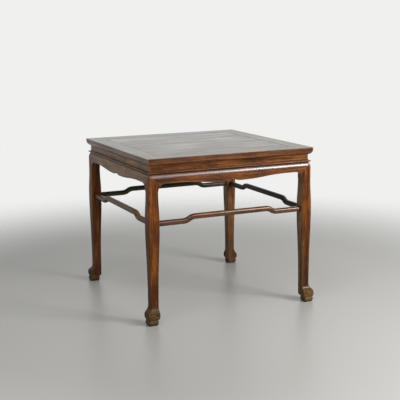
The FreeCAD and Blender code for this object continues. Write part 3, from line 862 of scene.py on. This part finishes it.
    def shaft(self, size):
        """Extrudes the rounded square of the sole upwards through all the levels."""
        rows = self.levels(size)
        height, outer, inner = rows[0]
        middle, width = (outer + inner) / 2, outer - inner
        leg = blank(PLANE, "leg_front_right_wood", (middle, -middle, height), (width, width, 1))
        edit(leg)
        bpy.ops.mesh.select_all(action="SELECT")
        bpy.ops.mesh.bevel(affect="VERTICES", offset=self.arris_radius, segments=4)
        choose(leg, "edges", lambda edge: edge.calc_length() > width / 2)
        bpy.ops.mesh.subdivide(number_cuts=self.face_cuts)
        bpy.ops.mesh.select_all(action="SELECT")
        for next_height, next_outer, next_inner in rows[1:]:
            next_middle, next_width = (next_outer + next_inner) / 2, next_outer - next_inner
            shift = next_middle - middle
            bpy.ops.mesh.extrude_region_move(
                TRANSFORM_OT_translate={"value": (shift, -shift, next_height - height)})
            ratio = next_width / width
            bpy.ops.transform.resize(value=(ratio, ratio, 1),
                                     center_override=(next_middle, -next_middle, next_height))
            height, middle, width = next_height, next_middle, next_width
        face_outwards()
        return leg

    def join_head(self, leg, size):
        """Adds the corner spurs and the post, and saws the mitres."""
        face, back, top = -APRON_LOW.y, -APRON_HIGH.y, APRON_HIGH.z
        inner = face - size.leg_width
        centre = inner - size.corner_radius
        level = centre + top - face
        lap = inner + self.spur_lap
        outline = [(lap, level), (inner, level)]
        outline += round_arc((centre, level), size.corner_radius, 0, QUARTER_TURN / 2, 6)
        outline += [(lap, lap + top - face)]
        spur = swept("leg_spur", outline, -face, -back, 1)
        activate(spur)
        bpy.ops.object.duplicate(linked=False)
        twin = bpy.context.object
        twin.data.transform(self.corner_mirror)
        twin.data.flip_normals()
        trim(leg, (face, 0, top), (-1, 0, 1))
        trim(leg, (0, -face, top), (0, 1, 1))
        combine(leg, spur, "UNION")
        combine(leg, twin, "UNION")
        post = back - self.post_play
        middle, width = (inner + post) / 2, post - inner
        head = blank(CUBE, "leg_post", (middle, -middle, (level + RAIL_LOW.z) / 2),
                     (width, width, RAIL_LOW.z - level))
        combine(leg, head, "UNION")

    def spiral(self, centre, radii, turns, first, way):
        """Points every half millimetre or so on a flat scroll."""
        points = []
        for number in range(self.scroll_points + 1):
            share = number / self.scroll_points
            radius = radii[0] + (radii[1] - radii[0]) * share ** self.scroll_easing
            turn = first + way * share * turns * 2 * math.pi
            points.append((centre[0] + radius * math.cos(turn), centre[1] + radius * math.sin(turn)))
        return points

    def nearest(self, points):
        tree = kdtree.KDTree(len(points))
        for number, (along, height) in enumerate(points):
            tree.insert((along, height, 0), number)
        tree.balance()
        return tree

    def carve_foot(self, leg, size):
        """Cuts a scroll into each face of the foot and clefts the pad."""
        face = -APRON_LOW.y
        ankle_out = face - self.ankle_inset
        ankle_in = ankle_out - size.ankle_width
        lip = size.pad_height + size.foot_height
        outer = face + self.belly_bulge
        roll_middle = (outer - self.roll_inset, size.pad_height + size.foot_height / 2)
        roll = self.spiral(roll_middle, self.roll_radii, self.roll_turns, self.roll_start, -1)
        tail_end = (face + self.tail_out, lip + self.tail_lift)
        tail = [(out - self.tail_inset, height) for out, height in
                eased_arc((ankle_out, size.ankle_height), tail_end, count=80)]
        eye = (ankle_in + self.eye_inset, lip - self.eye_drop)
        curl = self.spiral(eye, self.curl_radii, self.curl_turns, QUARTER_TURN, 1)
        ledge = [(eye[0] + self.ledge_step * step, lip - self.ledge_drop)
                 for step in range(self.ledge_points)]
        inner_cut, outer_cut = self.nearest(roll + tail), self.nearest(curl + ledge)
        depth = size.carving_depth
        middle = (outer + ankle_in) / 2
        edit(leg)
        mesh = bmesh.from_edit_mesh(leg.data)
        mesh.normal_update()
        moves = []
        for vertex in mesh.verts:
            place, outward = vertex.co, vertex.normal
            if not TINY <= place.z <= size.ankle_height:
                continue
            out_x, out_y = place.x, -place.y
            cut = 0.0
            for normal, along in ((outward.x, out_y), (-outward.y, out_x)):
                if abs(normal) < self.face_normal:
                    continue
                grooves = outer_cut if normal > 0 else inner_cut
                gap = grooves.find((along, place.z, 0))[2]
                cut = depth * math.exp(-(gap / self.groove_width) ** 2)
                if normal > 0:
                    gap = math.hypot(along - eye[0], place.z - eye[1])
                    cut = max(cut, self.eye_share * depth * math.exp(-(gap / self.eye_width) ** 2))
            if place.z < size.pad_height - self.cleft_gap and min(out_x, out_y) > middle:
                cut += self.cleft_depth * math.exp(-((out_x - out_y) / self.cleft_width) ** 2)
            moves.append((vertex, outward * cut))
        for vertex, shift in moves:
            vertex.co -= shift
        bmesh.update_edit_mesh(leg.data)
        deselect()


class BuildStretchers(bpy.types.Operator):
    """Hump-backed stretchers with softened arrises"""
    bl_idname = "table.build_stretchers"
    bl_label = "Stretchers"

    # Finish of each stretcher in the order of the sides; the right and back ones are darkened on their inner
    # faces with painted shade, and the left one is paler and greyer with dust and a painted grey sheen
    looks = (
        {"palette": "apron", "tint": 0.5},
        {"palette": "painted_shade", "tint": 0.9, "second": ("body", (1, 0, 0), -0.1, 0.45, 0.9)},
        {"palette": "painted_shade", "tint": 0.9, "second": ("body", (0, 1, 0), -0.1, 0.45, 0.9)},
        {"palette": "dust_and_sheen", "tint": 0.55})
    # Rounding of the arrises, and how far the ends go into the legs
    arris_radius, seat = 0.0115, 0.0006

    def execute(self, context):
        bar = self.bent_bar(sizes())
        hand_over_all("stretcher", bar, SIDES, "XYXY", self.looks)
        return {"FINISHED"}

    def bent_bar(self, size):
        """Extrudes the rounded end along the hump, and keeps the bar as thick on its slopes."""
        deep = STRETCHER_HIGH.y - STRETCHER_LOW.y
        tall = STRETCHER_HIGH.z - STRETCHER_LOW.z - size.stretcher_rise
        low = STRETCHER_LOW.z + tall / 2
        out = (STRETCHER_LOW.y + STRETCHER_HIGH.y) / 2
        end = -APRON_LOW.y + size.knee_bulge - size.knee_width + self.seat
        high_end, low_end = size.bend_along - size.bend_run / 2, size.bend_along + size.bend_run / 2
        half = [(end, 0), (low_end, 0)]
        half += level_s_curve((low_end, 0), (high_end, size.stretcher_rise), 9)
        spine = [(-along, rise) for along, rise in half] + half[::-1]
        bar = blank(PLANE, "stretcher_front_wood", (-end, out, low), (tall, deep, 1), (0, -QUARTER_TURN, 0))
        edit(bar)
        bpy.ops.mesh.select_all(action="SELECT")
        bpy.ops.mesh.bevel(affect="VERTICES", offset=self.arris_radius, segments=7)
        bpy.ops.mesh.select_all(action="SELECT")
        stretch = 1.0
        for number in range(1, len(spine)):
            (along, rise), (next_along, next_rise) = spine[number - 1], spine[number]
            bpy.ops.mesh.extrude_region_move(
                TRANSFORM_OT_translate={"value": (next_along - along, 0, next_rise - rise)})
            after = spine[min(number + 1, len(spine) - 1)]
            slope = (after[1] - rise) / max(after[0] - along, TINY)
            needed = math.hypot(1, slope)
            bpy.ops.transform.resize(value=(1, 1, needed / stretch),
                                     center_override=(next_along, out, low + next_rise))
            stretch = needed
        face_outwards()
        activate(bar)
        bpy.ops.object.shade_smooth_by_angle(angle=CURVED_SHARP_ANGLE)
        return bar


class BuildStage(bpy.types.Operator):
    """Plain pale floor, soft studio light and the camera"""
    bl_idname = "table.build_stage"
    bl_label = "Stage"

    # Side of the floor, its roughness, and the distances between which it melts into the room
    floor_side, floor_roughness, floor_fade = 12, 0.35, (1.3, 3.2)
    # The room's bright side, and the light that it gives against the rest
    bright_way, glow = (0.42, 0.90, 0.0), (0.45, 0.88, 0.42, 1.0)
    # Softboxes with their places, widths, heights and watts, and the height that they point at
    softboxes = (("front_right", (2.1, -2.9, 2.1), 1.3, 0.75, 133),
                 ("front", (0.9, -3.0, 2.2), 1.6, 1.2, 42),
                 ("overhead", (-1.2, -1.2, 3.4), 1.2, 1.2, 25))
    lit_height = 0.6
    # Camera: lens and sensor in millimetres, its place, and its heading, tilt and roll in degrees
    lens, sensor, viewpoint = 79.9, 36.0, (-2.062, -4.452, 1.482)
    heading, tilt, roll = -25.17, 90 - 11.045, -0.43

    def execute(self, context):
        self.lay_floor()
        self.light_room(context.scene)
        for softbox in self.softboxes:
            self.hang_softbox(*softbox)
        self.set_camera(context.scene)
        return {"FINISHED"}

    def lay_floor(self):
        """Pale floor that melts into the light of the room a few metres from the table."""
        floor = blank(PLANE, "studio_floor", (0, 0, 0), (self.floor_side, self.floor_side, 1))
        plain = bpy.data.materials.new("pale_floor")
        plain.use_nodes = True
        tree = plain.node_tree
        tree.nodes.clear()
        place = add(tree, "ShaderNodeTexCoord").outputs["Object"]
        away = add(tree, "ShaderNodeVectorMath", (place,), operation="LENGTH").outputs["Value"]
        fade = add(tree, "ShaderNodeMapRange", (away, *self.floor_fade), interpolation_type="SMOOTHSTEP")
        matt = add(tree, "ShaderNodeBsdfPrincipled", {
            "Base Color": colours().floor_colour, "Roughness": self.floor_roughness})
        clear = add(tree, "ShaderNodeBsdfTransparent")
        mixed = add(tree, "ShaderNodeMixShader", (fade, matt, clear))
        add(tree, "ShaderNodeOutputMaterial", {"Surface": mixed})
        floor.data.materials.append(plain)

    def light_room(self, scene):
        """Even pale light, brighter from one side."""
        world = bpy.data.worlds.new("soft_room")
        scene.world = world
        world.use_nodes = True
        tree = world.node_tree
        tree.nodes.clear()
        way = add(tree, "ShaderNodeTexCoord").outputs["Generated"]
        toward = add(tree, "ShaderNodeVectorMath", (way, self.bright_way), operation="DOT_PRODUCT")
        strength = add(tree, "ShaderNodeMapRange", (toward.outputs["Value"], *self.glow))
        air = add(tree, "ShaderNodeBackground", {"Color": colours().air_colour, "Strength": strength})
        add(tree, "ShaderNodeOutputWorld", {"Surface": air})
        scene.view_settings.view_transform = "Standard"

    def hang_softbox(self, name, place, wide, tall, power):
        deselect()
        bpy.ops.object.light_add(type="AREA", location=place)
        lamp = bpy.context.object
        lamp.name = name
        lamp.data.shape = "RECTANGLE"
        lamp.data.size = wide
        lamp.data.size_y = tall
        lamp.data.energy = power
        lamp.visible_camera = False
        target = Vector((0, 0, self.lit_height))
        lamp.rotation_euler = (target - Vector(place)).to_track_quat("-Z", "Y").to_euler()

    def set_camera(self, scene):
        camera = bpy.data.cameras.new("photo_camera")
        camera.lens = self.lens
        camera.sensor_width = self.sensor
        stand = bpy.data.objects.new("photo_camera", camera)
        stand.location = self.viewpoint
        aim = Matrix.Identity(3)
        for angle, axis in ((self.heading, "Z"), (self.tilt, "X"), (self.roll, "Z")):
            aim = aim @ Matrix.Rotation(math.radians(angle), 3, axis)
        stand.rotation_euler = aim.to_euler()
        scene.collection.objects.link(stand)
        scene.camera = stand


OPERATORS = (BuildFrameRails, BuildPanelBoards, FinishBattens, BuildWaist, BuildAprons, BuildLegs,
             BuildStretchers, BuildStage)


class TablePanel(bpy.types.Panel):
    """Sizes, colours and building steps of the table"""
    bl_idname = "VIEW3D_PT_eight_immortals_table"
    bl_label = "Eight Immortals Table"
    bl_space_type = "VIEW_3D"
    bl_region_type = "UI"
    bl_category = "Table"

    def draw(self, context):
        for step in OPERATORS:
            self.layout.operator(step.bl_idname)
        for group in (context.scene.table_sizes, context.scene.table_colours):
            for name in group.bl_rna.properties.keys():
                if name not in {"rna_type", "name"}:
                    self.layout.prop(group, name)


CLASSES = (TableSizes, TableColours) + OPERATORS + (TablePanel,)


def register():
    for kind in CLASSES:
        bpy.utils.register_class(kind)
    bpy.types.Scene.table_sizes = bpy.props.PointerProperty(type=TableSizes)
    bpy.types.Scene.table_colours = bpy.props.PointerProperty(type=TableColours)


def unregister():
    del bpy.types.Scene.table_colours
    del bpy.types.Scene.table_sizes
    for kind in reversed(CLASSES):
        bpy.utils.unregister_class(kind)


def main():
    register()
    bpy.ops.table.build_frame_rails()
    bpy.ops.table.build_panel_boards()
    bpy.ops.table.finish_battens()
    bpy.ops.table.build_waist()
    bpy.ops.table.build_aprons()
    bpy.ops.table.build_legs()
    bpy.ops.table.build_stretchers()
    bpy.ops.table.build_stage()


if __name__ == "__main__":
    main()
